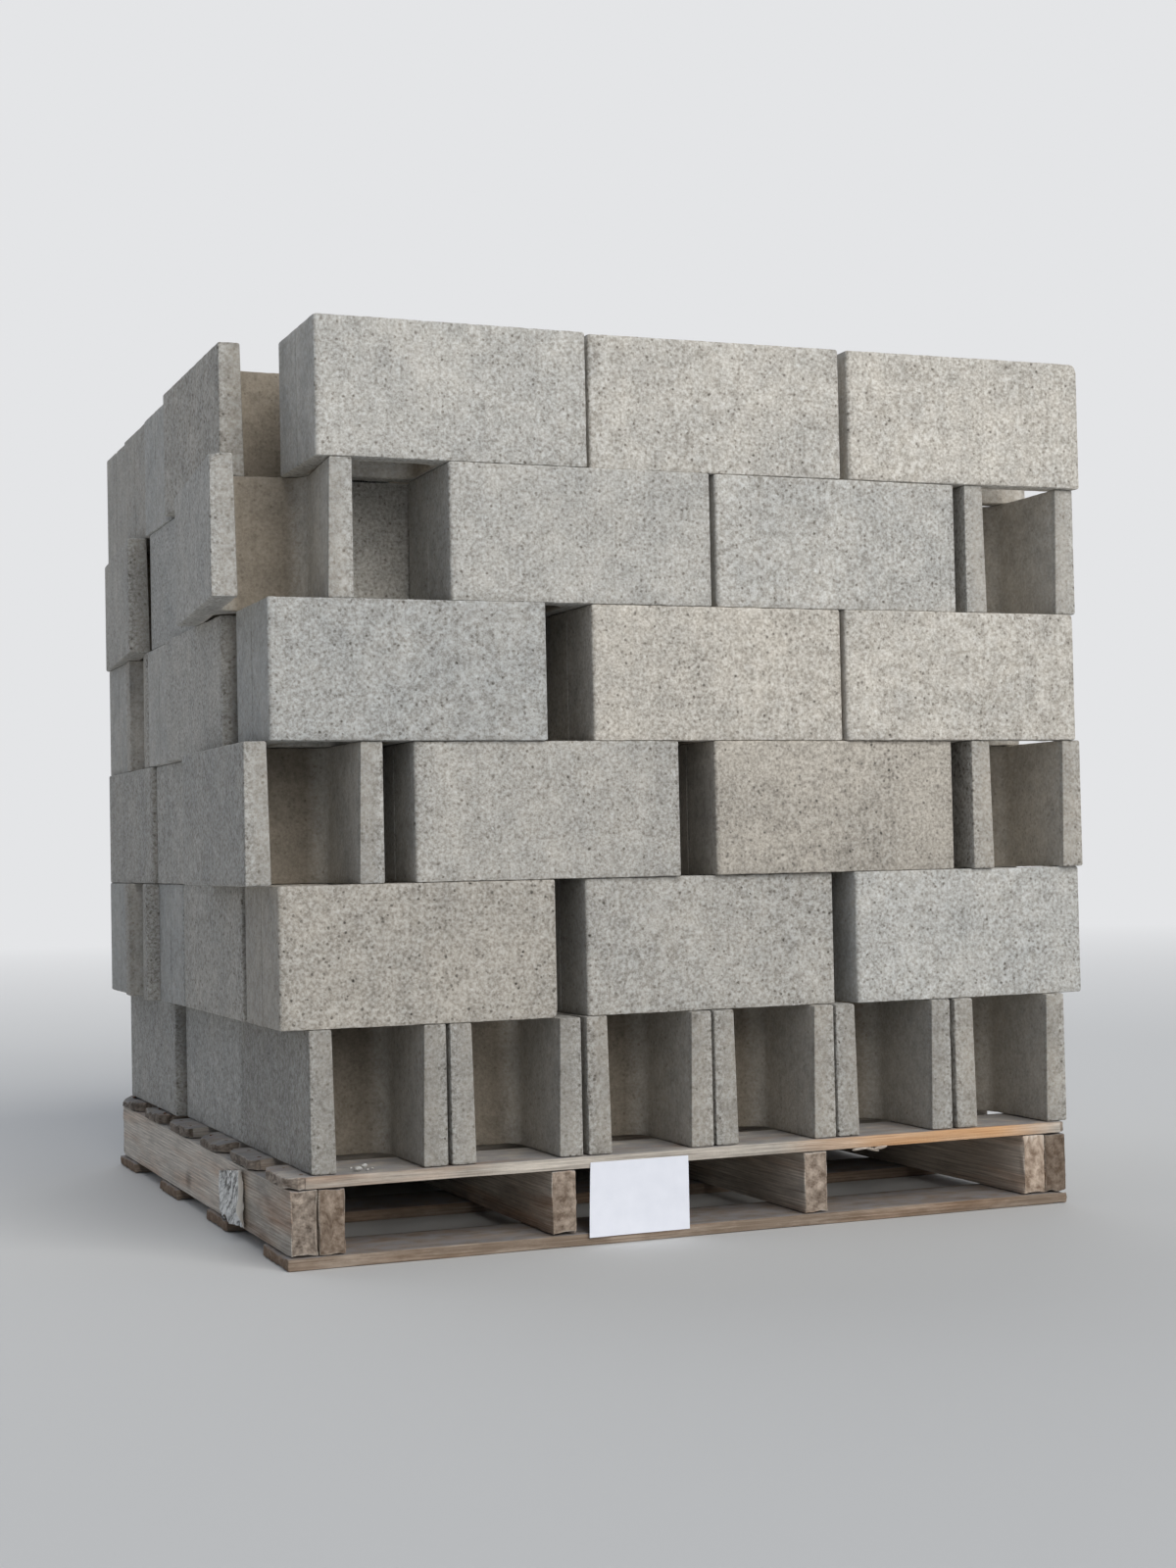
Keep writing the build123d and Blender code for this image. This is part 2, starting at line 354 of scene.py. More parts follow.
def lay_timber(node, seed, fresh=0.0, grime_and_painted_light=0.0, **shape):
    """Puts a sawn piece where its CAD node is. Boards lie along x, stringers along y. Fresh wood
    goes from 0 to 1, and grime_and_painted_light is above 0 where it is dirty and below 0 where
    the sun has bleached it, and on the left stringer's side also where painted sunlight lightens
    it. Each is a number, or a function of the points that gives one for each."""
    low, high = box_mm(node)
    size = high - low
    if size[0] > size[1]:
        points, triangles, grain, on_end = timber(*size, seed, **shape)
        placed = low + points
    else:
        points, triangles, grain, on_end = timber(size[1], size[0], size[2], seed, **shape)
        turned = points[:, [1, 0, 2]] * (-1, 1, 1)
        placed = np.array([high[0], low[1], low[2]]) + turned
    values = {"grain": grain, "end_grain": on_end}
    for key, value in (("fresh", fresh), ("grime_and_painted_light", grime_and_painted_light)):
        values[key] = (value(points) if callable(value) else value) * np.ones(len(points))
    piece = make_piece(node + "_sawn", placed, triangles, weathered_pine, values)
    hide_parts(node)
    return piece


BLEACHED_AND_SUNLIT, FRONT_QUARTER = -2.5, -0.9          # grime of the left stringer, bleached and lightened with painted sunlight, and of its darker front quarter
FRONT_TO, FRONT_FADE = 340.0, 160.0    # end of that part, from the front, and how it fades


def sunlit_behind_front(points):
    """The left stringer is bleached and lit with painted sunlight, but its front quarter is darker."""
    return BLEACHED_AND_SUNLIT + (FRONT_QUARTER - BLEACHED_AND_SUNLIT) * np.clip((FRONT_TO - points[:, 0]) / FRONT_FADE, 0, 1)


lay_timber("stringer_left", 11, grime_and_painted_light=sunlit_behind_front, ragged=5.0)
lay_timber("stringer_inner_left", 12, ragged=4.0, fresh=0.06, grime_and_painted_light=-1.2)
lay_timber("stringer_inner_right", 13, ragged=4.0, fresh=0.04, grime_and_painted_light=-1.6)
lay_timber("stringer_right", 14, ragged=5.0, fresh=0.08, grime_and_painted_light=0.65)
lay_timber("stringer_companion", 15, fresh=0.12, grime_and_painted_light=-2.4)
lay_timber("stringer_left_companion", 16, ragged=4.0, fresh=0.08, grime_and_painted_light=-0.3)

# Bottom boards: four thin sawn boards across the underside of the stringers, which spread the
# load on what it stands on. They are of the same wood and nailed up into the stringers.
for number in range(1, 5):
    lay_timber(f"bottom_board_{number}", 20 + number, ragged=3.0, fresh=0.16, grime_and_painted_light=0.7)

# Deck boards: six thin sawn boards nailed across the stringers, under the blocks. Their left
# ends are knocked about, broken and dark with damp, and the front one is worn round there.
# Its right part has lost its grey skin, and the orange wood shows along the front edge.
FRESH_FROM, FRESH_TO = 730.0, 1205.0     # the bare stretch, from the left end of the front board
FRESH_IN, FRESH_OUT = 90.0, 60.0         # over which it begins and ends
FRESH_DEPTH = 7.0                        # how far back from the front edge it reaches
FRESH_CELL = 16.0                        # size of its patches
DECK_GRIME, END_GRIME = -0.9, -0.1       # along a board, and at its left end
DIRTY_TO, DIRTY_FADE = 30.0, 20.0        # end of the dark part there, and how it fades


def worn_front(points):
    """Bare wood along the right half of the front edge, in patches."""
    x, y = points[:, 0], points[:, 1]
    along = np.clip((x - FRESH_FROM) / FRESH_IN, 0, 1) * np.clip((FRESH_TO - x) / FRESH_OUT, 0, 1)
    patch = 0.75 + 0.45 * soft_noise(points * (0.25, 1, 1), FRESH_CELL, 8)
    return np.clip(along * patch * (y < FRESH_DEPTH), 0, 1)


def dark_end(points):
    """Damp dirt on the outer part of a broken end."""
    dark = np.clip((DIRTY_TO - points[:, 0]) / DIRTY_FADE, 0, 1)
    return DECK_GRIME + (END_GRIME - DECK_GRIME) * dark


lay_timber("deck_board_1", 31, fresh=worn_front, grime_and_painted_light=-1.3, round_start=26.0, round_stop=8.0)
for number, rounding, length in ((2, 16, 1), (3, 34, 20), (4, 12, 1), (5, 22, 40), (6, 30, 52)):
    lay_timber(f"deck_board_{number}", 31 + number, grime_and_painted_light=dark_end, round_start=rounding,
               ragged=6.0, broken=length)

# Nail heads: two plain steel nails through each deck board into each stringer, driven flush
# and rusted brown.
NAIL_RADIUS = 3.4
NAIL_DOME = 0.9
NAIL_SPREAD = 42.0          # from the middle of the board to each nail
NAIL_STRAY = 7, 6           # how far from its place one may be driven, along and across
NAIL_SINK = 1.2             # from the CAD deck down to its rim, in wood that has worn away
NAIL_RIM = 1.5              # depth of the rim
RUST = 1.5                  # size of a rust spot

rusted_steel, tree, shader = new_material("rusted_steel")
place = add(tree, "TexCoord", {}, "Object")
rust = add(tree, "TexNoise", {"Vector": place, "Scale": 1 / (RUST * MM), "Detail": 3.0})
rust = add(tree, "Mix", {0: rust, 6: linear("#3A2A20"), 7: linear("#7A5236")}, 2, data_type="RGBA")
feed(shader, {"Base Color": rust, "Roughness": 0.75, "Metallic": 0.35})


def nail_heads(centres):
    """A dome for each centre: rings of a falling cosine, radius times sin and height times cos
    of the same angle, closed by a flat disc below."""
    lean = np.radians([0, 35, 70, 90])[:, None]
    turn = np.radians(np.arange(0, 360, 36))[None, :]
    ring = np.stack(np.broadcast_arrays(NAIL_RADIUS * np.sin(lean) * np.cos(turn),
                                        NAIL_RADIUS * np.sin(lean) * np.sin(turn),
                                        NAIL_DOME * np.cos(lean)), -1)
    skirt = ring[-1:] * (1, 1, 0) - (0, 0, NAIL_RIM)
    ring = np.concatenate([ring, skirt, skirt * (0, 0, 1)])
    faces = grid_faces(*ring.shape[:2], close_columns=True)[:, ::-1]
    kept, triangles = weld(ring.reshape(-1, 3), faces)
    head = ring.reshape(-1, 3)[kept]
    points = (centres[:, None] + head).reshape(-1, 3)
    steps = np.arange(len(centres))[:, None, None] * len(head)
    return points, (triangles + steps).reshape(-1, 3)


rng = np.random.default_rng(5)
centres = []
for number in range(1, 7):
    low, high = box_mm(f"deck_board_{number}")
    for stringer in ("left", "inner_left", "inner_right", "right"):
        post_low, post_high = box_mm(f"stringer_{stringer}")
        middle = np.array([post_low[0] + post_high[0], low[1] + high[1], 2 * high[2]]) / 2
        for way in (-1, 1):
            stray_x, stray_y = (rng.uniform(-far, far) for far in NAIL_STRAY)
            centres.append(middle + (stray_x, way * NAIL_SPREAD + stray_y, -NAIL_SINK))
points, triangles = nail_heads(np.array(centres))
make_piece("nail_heads", points, triangles, rusted_steel)

# Card: a blank sheet of stiff white card, cut square and fixed at its top to the front of the
# pallet, beside a stringer. It hangs flat, with its lower left corner a little out.
CARD_CURL = 4.0             # how far its lower left corner stands out
CARD_FLARE = 5.0            # how far its left edge runs out at the bottom
CARD_SHARE = 0.8            # of its CAD thickness, which keeps it clear of the board behind
CARD_GRID = 25, 18          # points along and up
PULP = 22.0                 # size of the faint clouds in the card

white_card, tree, shader = new_material("white_card")
place = add(tree, "TexCoord", {}, "Object")
pulp = add(tree, "TexNoise", {"Vector": place, "Scale": 1 / (PULP * MM), "Detail": 4.0})
pulp = add(tree, "Mix", {0: pulp, 6: linear("#DADDE6"), 7: linear("#E8EAF2")}, 2, data_type="RGBA")
feed(shader, {"Base Color": pulp, "Roughness": 0.7})


def closed_sheet(near, far):
    """A thin sheet from two grids of points: its front, its back turned over, and their rim."""
    rows, columns = near.shape[:2]
    loop = np.concatenate([near, far[:, ::-1]], axis=1)
    faces = grid_faces(rows, 2 * columns, close_columns=True)
    number = np.arange(rows * 2 * columns).reshape(rows, 2 * columns)
    front, back = number[:, :columns], number[:, columns:][:, ::-1]
    caps = [np.stack([front[i, :-1], back[i, :-1], back[i, 1:], front[i, 1:]], -1)[:, ::order]
            for i, order in ((0, -1), (-1, 1))]
    points = loop.reshape(-1, 3)
    kept, triangles = weld(points, np.concatenate([faces, *caps]))
    return points[kept], triangles


low, high = box_mm("card")
size = high - low
share_x, share_z = np.meshgrid(*(np.linspace(0, 1, count) for count in CARD_GRID), indexing="ij")
curl = CARD_CURL * np.clip(1 - share_x - share_z, 0, 1) ** 2
flare = CARD_FLARE * (1 - share_x) * (1 - share_z)
near = np.stack([share_x * size[0] - flare, -curl, share_z * size[2]], -1)
points, triangles = closed_sheet(near, near + (0, size[1] * CARD_SHARE, 0))
card = make_piece("card_blank", low + points, triangles, white_card, sharp=60)
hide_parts("card")

# Torn label: a sheet of thin paper stapled to the side of the left stringer. Rain has wrinkled
# and stained it, and its diagonal streaks are stains with the painted shade of the creases. Its
# lower edge is torn away, and its front edge has come loose and stands out.
FOLD = 7.0                  # how far the wrinkles stand out
LOOSE_EDGE = 19.0           # how far the loose front edge stands out
LABEL_TOP = 4.0, -17.0      # its front and back end, from the top of its CAD sheet
LABEL_FOOT = -5.0           # its lower edge, from the bottom of its CAD sheet
LABEL_LEAN = 13.0           # how far back the top of its front edge leans
LABEL_GRID = 81, 37         # points along and up
LABEL_THICKNESS = 0.3
FOLD_CELLS = 19.0, 8.0      # from one wrinkle to the next, the broad ones and the fine ones
LOOSE_SHARE = 0.1           # share of its length that has come loose
LOOSE_CELL = 22.0           # size of the bends in that part
TEAR, TEAR_CELL = 9.0, 21.0          # depth and width of the tears
CLEAN_TO, CLEAN_FADE = 30.0, 6.0     # end of its cleaner front strip, and how it fades
STREAK = 9.0           # width of a streak, stain and painted crease shade, which is four times as long

stained_paper_painted_creases, tree, shader = new_material("stained_paper_painted_creases")
place = add(tree, "TexCoord", {}, "Object")
place = add(tree, "VectorRotate", {"Vector": place, "Angle": radians(50)}, rotation_type="X_AXIS")
place = add(tree, "VectorMath", {0: place, 1: (1, 0.22, 1)}, operation="MULTIPLY")
# dark and pale diagonal streaks: water stains and painted shade of the creases
stain_and_crease_shade = add(tree, "TexNoise", {"Vector": place, "Scale": 1 / (STREAK * MM), "Detail": 3.0,
                               "Roughness": 0.65})
clean = add(tree, "Attribute", {}, "Fac", attribute_name="clean")
stain_and_crease_shade = add(tree, "Math", {0: clean, 1: 0.25, 2: stain_and_crease_shade}, operation="MULTIPLY_ADD")
stain_and_crease_shade = add(tree, "MapRange", {"Value": stain_and_crease_shade, "From Min": 0.38, "From Max": 0.56})
stain_and_crease_shade = add(tree, "Mix", {0: stain_and_crease_shade, 6: linear("#74726E"), 7: linear("#EFEEEA")}, 2, data_type="RGBA")
feed(shader, {"Base Color": stain_and_crease_shade, "Roughness": 0.8})

low, high = box_mm("torn_label")
size = high - low
share_y, share_z = np.meshgrid(*(np.linspace(0, 1, count) for count in LABEL_GRID), indexing="ij")
flat = np.stack([share_y * size[1], share_z * size[2], 0 * share_y], -1)
torn = TEAR * np.clip(0.3 + soft_noise(flat * (1, 0, 0), TEAR_CELL, 41), 0, 1)
slant = np.stack([0.25 * (flat[..., 0] + flat[..., 1]), flat[..., 0] - flat[..., 1],
                  0 * share_y], -1)
broad, fine = (np.abs(soft_noise(slant, cell, seed)) for seed, cell in enumerate(FOLD_CELLS, 42))
out = FOLD * (broad + 0.35 * fine) * np.sqrt(np.clip(4 * share_y * (1 - share_y), 0, 1))
loose = np.clip((LOOSE_SHARE - share_y) / LOOSE_SHARE, 0, 1)
out = out + LOOSE_EDGE * loose ** 1.3 * (0.7 + 0.3 * soft_noise(flat, LOOSE_CELL, 44))
foot = LABEL_FOOT + torn
head = size[2] + LABEL_TOP[0] + (LABEL_TOP[1] - LABEL_TOP[0]) * share_y
near = np.stack([-out, share_y * size[1] + LABEL_LEAN * share_z * (1 - share_y),
                 foot + share_z * (head - foot)], -1)
points, triangles = closed_sheet(near[::-1], near[::-1] + (LABEL_THICKNESS, 0, 0))
values = {"clean": np.clip((CLEAN_TO - points[:, 1]) / CLEAN_FADE, 0, 1)}
label = make_piece("torn_label_paper", low + points, triangles, stained_paper_painted_creases, values, sharp=60)
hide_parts("torn_label")

# Blocks: hollow concrete units, pressed in a steel mould and cured. One end is closed, with a
# scored groove down its middle, and the other is left open between the ends of the face shells.
# The cores taper, so walls are thicker at the bottom. Handling has rubbed and chipped the edges.
SHELL_TOP = 32.0            # walls at the top of a block
WEB_TOP = 27.0
WALL_GROWTH = 4.0           # what a wall gains from top to bottom, on each cored side
SCORE_HALF_WIDTH = 2.0      # the groove in the closed end
SCORE_DEPTH = 2.5
CORE_RADIUS = 26.0          # upright inner corners
CORNER_RADIUS = 6.0         # upright outer corners of the closed end
EDGE_RADIUS = 3.0           # every other edge
EDGE_BEND = np.radians([0, 45, 90])


def wall_section(height, wall_steps, cap_steps):
    """Stations round a wall's section: up the core side, over the top, down the outside and
    back under it. Each has its height, its share of the way from the core to the outside,
    and how far the rounded edge has drawn it in: radius times 1 - cos."""
    rise = EDGE_RADIUS * (1 - np.sin(EDGE_BEND))
    inset = EDGE_RADIUS * (1 - np.cos(EDGE_BEND))
    wall = np.linspace(EDGE_RADIUS, height - EDGE_RADIUS, wall_steps + 1)
    up_z = np.append(wall, height - rise[1:])
    up_in = np.append(0 * wall, inset[1:])
    cap = np.linspace(0, 1, cap_steps + 1)[1:-1]
    bend = len(EDGE_BEND) - 1
    z = np.concatenate([up_z, 0 * cap + height, up_z[::-1], rise[1:], 0 * cap, rise[:0:-1]])
    drawn = np.concatenate([up_in, 0 * cap + EDGE_RADIUS, up_in[::-1],
                            inset[1:], 0 * cap + EDGE_RADIUS, inset[:0:-1]])
    share = np.concatenate([0 * up_z, cap, 0 * up_z + 1, np.ones(bend), 1 - cap, np.zeros(bend)])
    return z, share, drawn


def swept_wall(core, core_out, outer, outer_out, section, squeeze):
    """A wall carried round its core. Its section stretches between matched points of the core
    and of the outside; squeeze goes from 0 to 1 where an open end rounds off."""
    z, share, drawn = section
    height = z.max()
    squeeze = squeeze[:, None]
    pulled = (drawn * (1 - squeeze) + EDGE_RADIUS * squeeze)[..., None]
    inner = core + core_out * pulled
    outside = outer - outer_out * pulled
    plan = inner + (outside - inner) * share[None, :, None]
    flat = np.clip(z, EDGE_RADIUS, height - EDGE_RADIUS)
    level = np.broadcast_to(z + (flat - z) * squeeze, plan.shape[:2])
    return np.concatenate([plan, level[..., None]], -1)


def block_surface(length, width, height, along, across, wall_steps, cap_steps, arc_steps):
    """A whole block, its closed end at -x and its open end at +x. Two walls are swept, one
    round the closed core and one round the open one, and they meet on the middle of the web.
    It returns points, triangles, and how much each point is an edge and inside a core."""
    section = wall_section(height, wall_steps, cap_steps)
    z = section[0]
    growth = WALL_GROWTH * (1 - z / height)
    wall, half_web = SHELL_TOP + growth, WEB_TOP / 2 + growth
    end, flank = length / 2, width / 2
    inner_y = flank - wall
    still = 0 * z
    shares_x, shares_y = (np.linspace(0, 1, n + 1)[1:-1] for n in (along, across))
    score = SCORE_HALF_WIDTH / (width - 2 * CORNER_RADIUS)
    shares_end = np.union1d(shares_y, [0.5 - score, 0.5, 0.5 + score])

    # the closed core, anticlockwise from its corner at the closed end
    low, high = -end + wall, -half_web
    sides = [shares_x, shares_y, shares_x, shares_end]
    core = outline([(low, -inner_y, -1, -1, CORE_RADIUS), (high, -inner_y, 1, -1, CORE_RADIUS),
                    (high, inner_y, 1, 1, CORE_RADIUS), (low, inner_y, -1, 1, CORE_RADIUS)],
                   sides, True, arc_steps, still)
    outer, out = outline([(-end, -flank, -1, -1, CORNER_RADIUS), (0, -flank, 1, -1, 0),
                          (0, flank, 1, 1, 0), (-end, flank, -1, 1, CORNER_RADIUS)],
                         sides, True, arc_steps, still)
    out = square_at_web(outer, out, flank)
    groove = np.searchsorted(shares_end, 0.5) - len(shares_end)
    outer[groove, :, 0] += SCORE_DEPTH
    closed_part = swept_wall(*core, outer, out, section, np.zeros(len(outer)))

    # the open core, from the open end along one shell, across the web and back along the other
    bend = np.sin(EDGE_BEND)[:0:-1]
    lead_x = end - EDGE_RADIUS + EDGE_RADIUS * np.append(1, bend)
    squeeze = np.append(1, 1 - np.cos(EDGE_BEND)[:0:-1])
    web_core = outline([(half_web, inner_y, -1, 1, CORE_RADIUS),
                        (half_web, -inner_y, -1, -1, CORE_RADIUS)],
                       [shares_y], False, arc_steps, still)
    web_outer = outline([(0, flank, -1, 1, 0), (0, -flank, -1, -1, 0)],
                        [shares_y], False, arc_steps, still)
    begin = end - EDGE_RADIUS
    shares = np.append(0, shares_x)
    paths = []
    for (points, normals), y in ((web_core, inner_y), (web_outer, flank + still)):
        parts = []
        for way in (1, -1):
            tip = np.stack(np.broadcast_arrays(lead_x[:, None], way * y), -1)
            corner = points[0] if way == 1 else points[-1]
            run, run_out = side(np.stack([begin + still, way * y], -1), corner, shares, (0, way))
            whole = np.concatenate([tip, run]), np.concatenate([0 * tip + (0, way), run_out])
            parts.append(whole if way == 1 else (whole[0][::-1], whole[1][::-1]))
        paths.append((np.concatenate([parts[0][0], points, parts[1][0]]),
                      np.concatenate([parts[0][1], normals, parts[1][1]])))
    (core_line, core_out), (outer_line, outer_out) = paths
    outer_out = square_at_web(outer_line, outer_out, flank)
    middle = np.zeros(len(core_line) - 2 * len(squeeze))
    squeeze = np.concatenate([squeeze, middle, squeeze[::-1]])
    open_part = swept_wall(core_line, core_out, outer_line, outer_out, section, squeeze)
    spine = (core_line + outer_line) / 2
    for i in (0, -1):
        open_part[i, :, :2] = spine[i]

    points, faces, start = [], [], 0
    for part, closed in ((closed_part, True), (open_part, False)):
        rows, columns = part.shape[:2]
        quads = grid_faces(rows, columns, close_rows=closed, close_columns=True)
        flat = part.reshape(-1, 3)
        buried = (np.abs(flat[quads][..., 0]) < 1e-6).all(1)
        faces.append(quads[~buried] + start)
        points.append(flat)
        start += len(flat)
    points = np.concatenate(points)
    inside = np.tile(section[1] < 0.01, len(points) // len(z)).astype(float)
    edge = np.tile((section[2] > 0) & np.isin(section[1], (0, 1)), len(points) // len(z))
    kept, triangles = weld(points, np.concatenate(faces))
    return points[kept], triangles, edge[kept].astype(float), inside[kept]


def square_at_web(points, out, flank):
    """Outward normals of the outer line, made square to the shells where the two walls of a
    block meet: none on the web's middle line, straight out on the shells."""
    on_web = np.abs(points[..., 0]) < 1e-9
    on_shell = np.abs(np.abs(points[..., 1]) - flank) < 1e-9
    straight = np.stack([0 * points[..., 1], np.sign(points[..., 1])], -1)
    out = np.where((on_web & on_shell)[..., None], straight, out)
    return np.where((on_web & ~on_shell)[..., None], 0, out)


def solids_of(node):
    """The separate solids of a CAD node: for each, its points and its triangles' centres and
    areas. Points that coincide are one, and each takes the lowest number it can reach."""
    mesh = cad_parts[node].data
    points = np.empty(len(mesh.vertices) * 3)
    mesh.vertices.foreach_get("co", points)
    points = points.reshape(-1, 3) / MM
    corners = np.empty(len(mesh.polygons) * 3, int)
    mesh.loops.foreach_get("vertex_index", corners)
    number = np.unique(np.round(points, 2), axis=0, return_inverse=True)[1].reshape(-1)
    triangles = number[corners].reshape(-1, 3)
    label = np.arange(number.max() + 1)
    while True:
        lower = label.copy()
        np.minimum.at(lower, triangles.ravel(), np.repeat(label[triangles].min(1), 3))
        lower = lower[lower]
        if (lower == label).all():
            break
        label = lower
    shape = points[corners].reshape(-1, 3, 3)
    area = np.linalg.norm(np.cross(shape[:, 1] - shape[:, 0], shape[:, 2] - shape[:, 0]), axis=1)
    owner = label[triangles[:, 0]]
    return [(shape[owner == one].reshape(-1, 3), shape[owner == one].mean(1), area[owner == one])
            for one in np.unique(owner)]


def block_places(node):
    """Middle of the base, turn about z towards the open end, and size of each block.
    The four outermost points of its plan are its corners, and the closed end has more face."""
    places = []
    for points, centres, areas in solids_of(node):
        plan = points[:, :2]
        left_front, right_front, right_back, left_back = (
            plan[np.argmax(plan @ way)] for way in ((-1, -1), (1, -1), (1, 1), (-1, 1)))
        middle = (left_front + right_front + right_back + left_back) / 4
        across = (right_front + right_back - left_front - left_back) / 2
        deep = (left_back + right_back - left_front - right_front) / 2
        long, short = (across, deep) if np.hypot(*across) > np.hypot(*deep) else (deep, across)
        heavy = (centres[:, :2] * areas[:, None]).sum(0) / areas.sum() - middle
        if heavy @ long > 0:
            long = -long
        places.append({"middle": np.append(middle, points[:, 2].min()),
                       "turn": atan2(long[1], long[0]),
                       "size": np.array([np.hypot(*long), np.hypot(*short), np.ptp(points[:, 2])])})
    return places


# Concrete of cement, sand and fine gravel, pressed nearly dry: an open face, peppered all over
# with darker and paler grains, small pits and a few dark stones, with faint upright drag lines
# from the mould. Each block has its own tone, and the tones of the front blocks also carry
# painted light, lighter towards the top and the right. Core walls and closed ends are calmer.
# The cores are browner and darker with painted shade and warm bounced light, their side walls
# lighter with painted light, and the groove darker with dust and painted shade. The open face
# scatters light, so it is rough and hardly shines.
PEPPER = 5.4                # from one grain to the next, drawn a little coarse to show
GRIT = 7.5                  # from one single dark or pale grain to the next
PIT_CELL = 15.0             # about one open pit or dark stone in each such square
MOTTLE = 20.0               # size of the fainter, wider clouding
PATCH = 85.0                # size of the broad changes of tone
DRAG_LINE = 7.0             # width of a drag line, which runs most of the height
GRAIN_RELIEF = 1.0

open_concrete, tree, shader = new_material("open_textured_concrete")
place = add(tree, "TexCoord", {}, "Object")
place = add(tree, "VectorMath", {0: place, "Scale": 1 / MM}, operation="SCALE")
cast = add(tree, "Attribute", {}, "Vector", attribute_name="cast")
place = add(tree, "VectorMath", {0: place, 1: cast}, operation="ADD")
look_and_painted_light = add(tree, "Attribute", {}, "Vector", attribute_name="look_and_painted_light")
look_and_painted_light = add(tree, "SeparateXYZ", {0: look_and_painted_light}).node
tone, warmth, grain = look_and_painted_light.outputs["X"], look_and_painted_light.outputs["Y"], look_and_painted_light.outputs["Z"]
wear, inside = (add(tree, "Attribute", {}, "Fac", attribute_name=name)
                for name in ("wear", "inside"))
tall = add(tree, "VectorMath", {0: place, 1: (1, 1, 0.05)}, operation="MULTIPLY")
pepper, patch, mottle, drag = (
    add(tree, "TexNoise", {"Vector": where, "Scale": 1 / cell, "Detail": detail, "Roughness": rough})
    for where, cell, detail, rough in ((place, PEPPER, 2.0, 0.75), (place, PATCH, 3.0, 0.5),
                                       (place, MOTTLE, 1.0, 0.5), (tall, DRAG_LINE, 2.0, 0.5)))
grit, pit = (add(tree, "TexVoronoi", {"Vector": place, "Scale": 1 / cell}, "Distance")
             for cell in (GRIT, PIT_CELL))
grit_kind = add(tree, "SeparateColor", {0: grit.node.outputs["Color"]}, 0)
is_grit = add(tree, "MapRange", {"Value": grit, "From Min": 0.36, "From Max": 0.22})
pit_size = add(tree, "SeparateColor", {0: pit.node.outputs["Color"]}, 1)
pit_size = add(tree, "MapRange", {"Value": pit_size, "From Min": 0.5, "To Max": 0.15})
pit = add(tree, "Math", {0: pit, 1: pit_size}, operation="SUBTRACT")
pit = add(tree, "MapRange", {"Value": pit, "From Min": 0.03, "From Max": -0.03})

pepper_shade = add(tree, "MapRange", {"Value": pepper, "From Min": 0.34, "From Max": 0.66,
                                      "To Min": -0.33, "To Max": 0.28})
grit_shade = add(tree, "MapRange", {"Value": grit_kind, "To Min": -0.45, "To Max": 0.2})
grit_shade = add(tree, "Math", {0: grit_shade, 1: is_grit}, operation="MULTIPLY")
grains = add(tree, "Math", {0: pepper_shade, 1: grit_shade}, operation="ADD")
grains = add(tree, "Math", {0: pit, 1: -0.45, 2: grains}, operation="MULTIPLY_ADD")
patch_shade, mottle_shade, drag_shade, warm_share = (
    add(tree, "MapRange", {"Value": cloud, "From Min": 0.3, "From Max": 0.7,
                           "To Min": low, "To Max": high})
    for cloud, low, high in ((patch, 0.92, 1.08), (mottle, -0.09, 0.09), (drag, -0.03, 0.03),
                             (patch, -0.08, 0.08)))
shade = add(tree, "Math", {0: grains, 1: grain, 2: patch_shade}, operation="MULTIPLY_ADD")
for term in (mottle_shade, drag_shade):
    shade = add(tree, "Math", {0: shade, 1: term}, operation="ADD")
shade = add(tree, "Math", {0: wear, 1: 0.06, 2: shade}, operation="MULTIPLY_ADD")
shade = add(tree, "Math", {0: shade, 1: tone}, operation="MULTIPLY")
warm_share = add(tree, "Math", {0: grains, 1: -0.9, 2: warm_share}, operation="MULTIPLY_ADD")
warm_share = add(tree, "Math", {0: warm_share, 1: warmth}, operation="ADD", use_clamp=True)
colour = add(tree, "Mix", {0: warm_share, 6: linear("#B0B1AF"), 7: linear("#B8B1A6")}, 2,
             data_type="RGBA")
# the cores turn browner and darker with painted shade and warm bounced light, most of all on the web
warm_shade_share = add(tree, "Math", {0: inside, 1: 0.7}, operation="MULTIPLY")
colour = add(tree, "Mix", {0: warm_shade_share, 6: colour, 7: linear("#9A8C78")}, 2, data_type="RGBA")
colour = add(tree, "VectorMath", {0: colour, "Scale": shade}, operation="SCALE")
height = add(tree, "Math", {0: pit, 1: -1.2, 2: pepper}, operation="MULTIPLY_ADD")
height = add(tree, "Math", {0: is_grit, 1: 0.3, 2: height}, operation="MULTIPLY_ADD")
height = add(tree, "Math", {0: height, 1: grain}, operation="MULTIPLY")
bump = add(tree, "Bump", {"Strength": 0.7, "Distance": GRAIN_RELIEF * MM, "Height": height})
feed(shader, {"Base Color": colour, "Roughness": 0.93, "Specular IOR Level": 0.2, "Normal": bump})

# Lightness and warmth of the blocks that show at the front, from left to right: each block's
# own tone, with painted light that makes the upper courses and the right side lighter.
FRONT_LOOKS_AND_LIGHT = {
    1: [(0.72, 0.5), (0.78, 0.5), (0.79, 0.6), (0.82, 0.6), (0.82, 0.5), (0.84, 0.6)],
    2: [(0.84, 0.8), (0.88, 0.5), (1.01, 0.3)],
    3: [(0.84, 0.4), (0.89, 0.5), (0.94, 1.0), (0.95, 0.7)],
    4: [(0.88, 0.2), (1.08, 0.8), (1.12, 0.7)],
    5: [(0.95, 0.4), (1.00, 0.4), (1.05, 0.4), (1.00, 0.5)],
    6: [(1.06, 0.4), (1.12, 0.6), (1.2, 0.7)],
}
OTHER_TONES, OTHER_WARMTHS = (0.84, 1.0), (0.2, 0.6)     # the range of all other blocks
DARK_FEET = {(3, 2): 0.14}  # course and block from the left: how much darker it is at its foot
